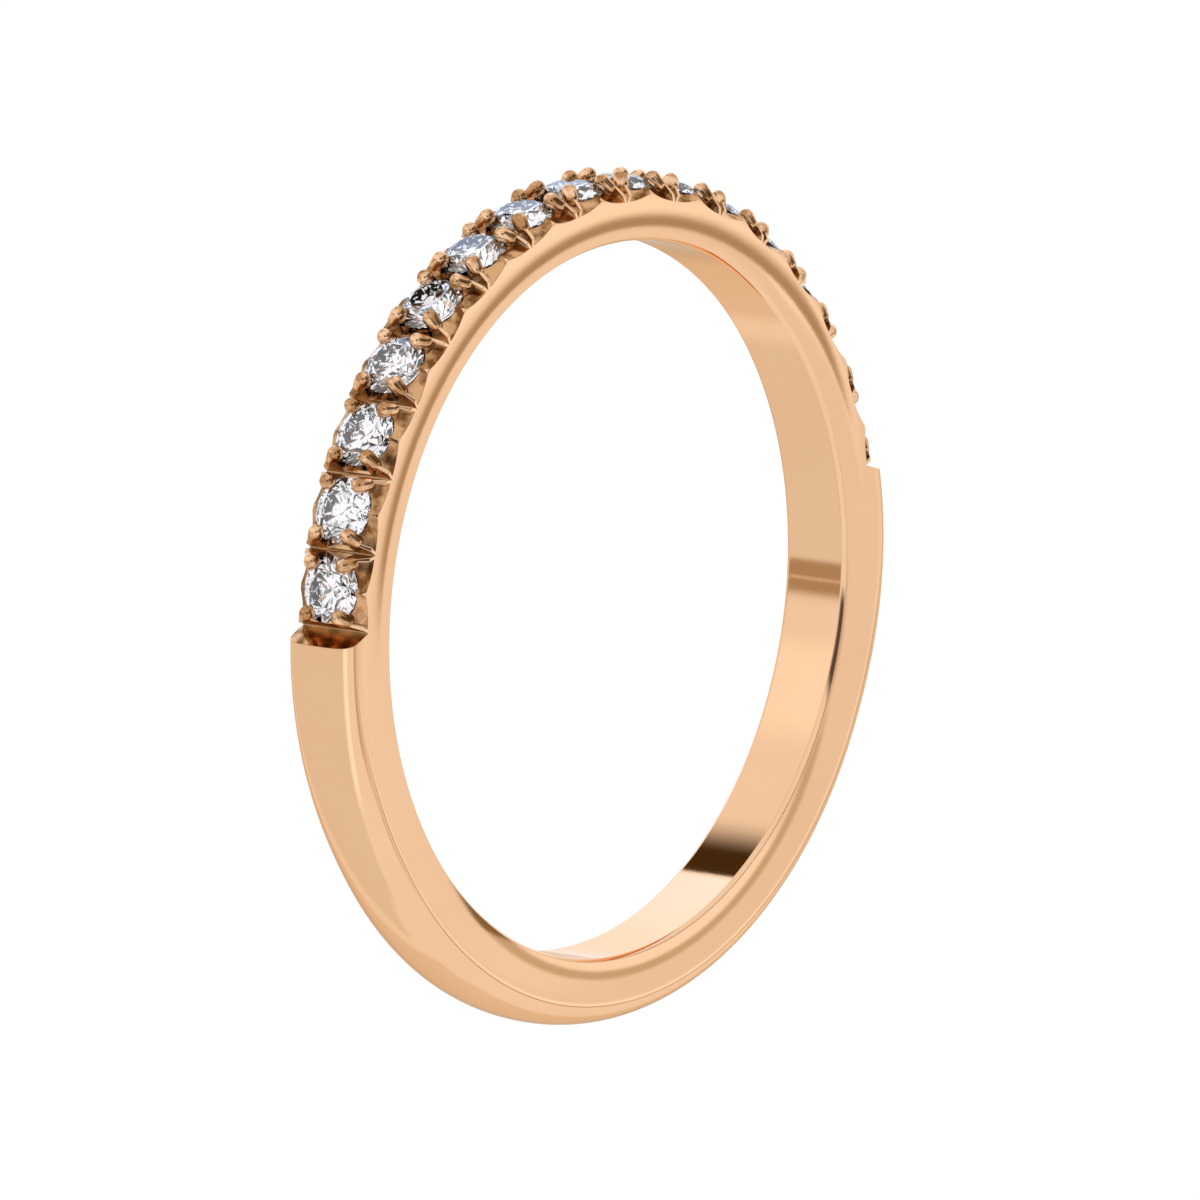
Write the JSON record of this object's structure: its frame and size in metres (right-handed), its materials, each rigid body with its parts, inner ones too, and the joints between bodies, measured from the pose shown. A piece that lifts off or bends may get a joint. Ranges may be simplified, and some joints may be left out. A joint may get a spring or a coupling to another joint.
{
  "type": "wedding band",
  "caption": "Slim rose-gold finger ring whose upper half is cut down into split prongs that hold a single row of small round brilliants.",
  "frame": {"origin": "centre of the finger hole, half way between the two side faces", "axes": "+Z from the centre out through the middle stone, Y along the finger, +X round the ring to the right of the top as seen from -Y"},
  "size_m": [0.0206, 0.002, 0.0205],
  "materials": {
    "rose_gold": "mirror-polished 14 karat rose gold",
    "diamond": "polished facets, colourless"
  },
  "bodies": {
    "root": {"band": "rose_gold", "diamond_01": "diamond", "diamond_02": "diamond", "diamond_03": "diamond", "diamond_04": "diamond", "diamond_05": "diamond", "diamond_06": "diamond", "diamond_07": "diamond", "diamond_08": "diamond", "diamond_09": "diamond", "diamond_10": "diamond", "diamond_11": "diamond", "diamond_12": "diamond", "diamond_13": "diamond", "diamond_14": "diamond", "diamond_15": "diamond"}
  },
  "joints": []
}
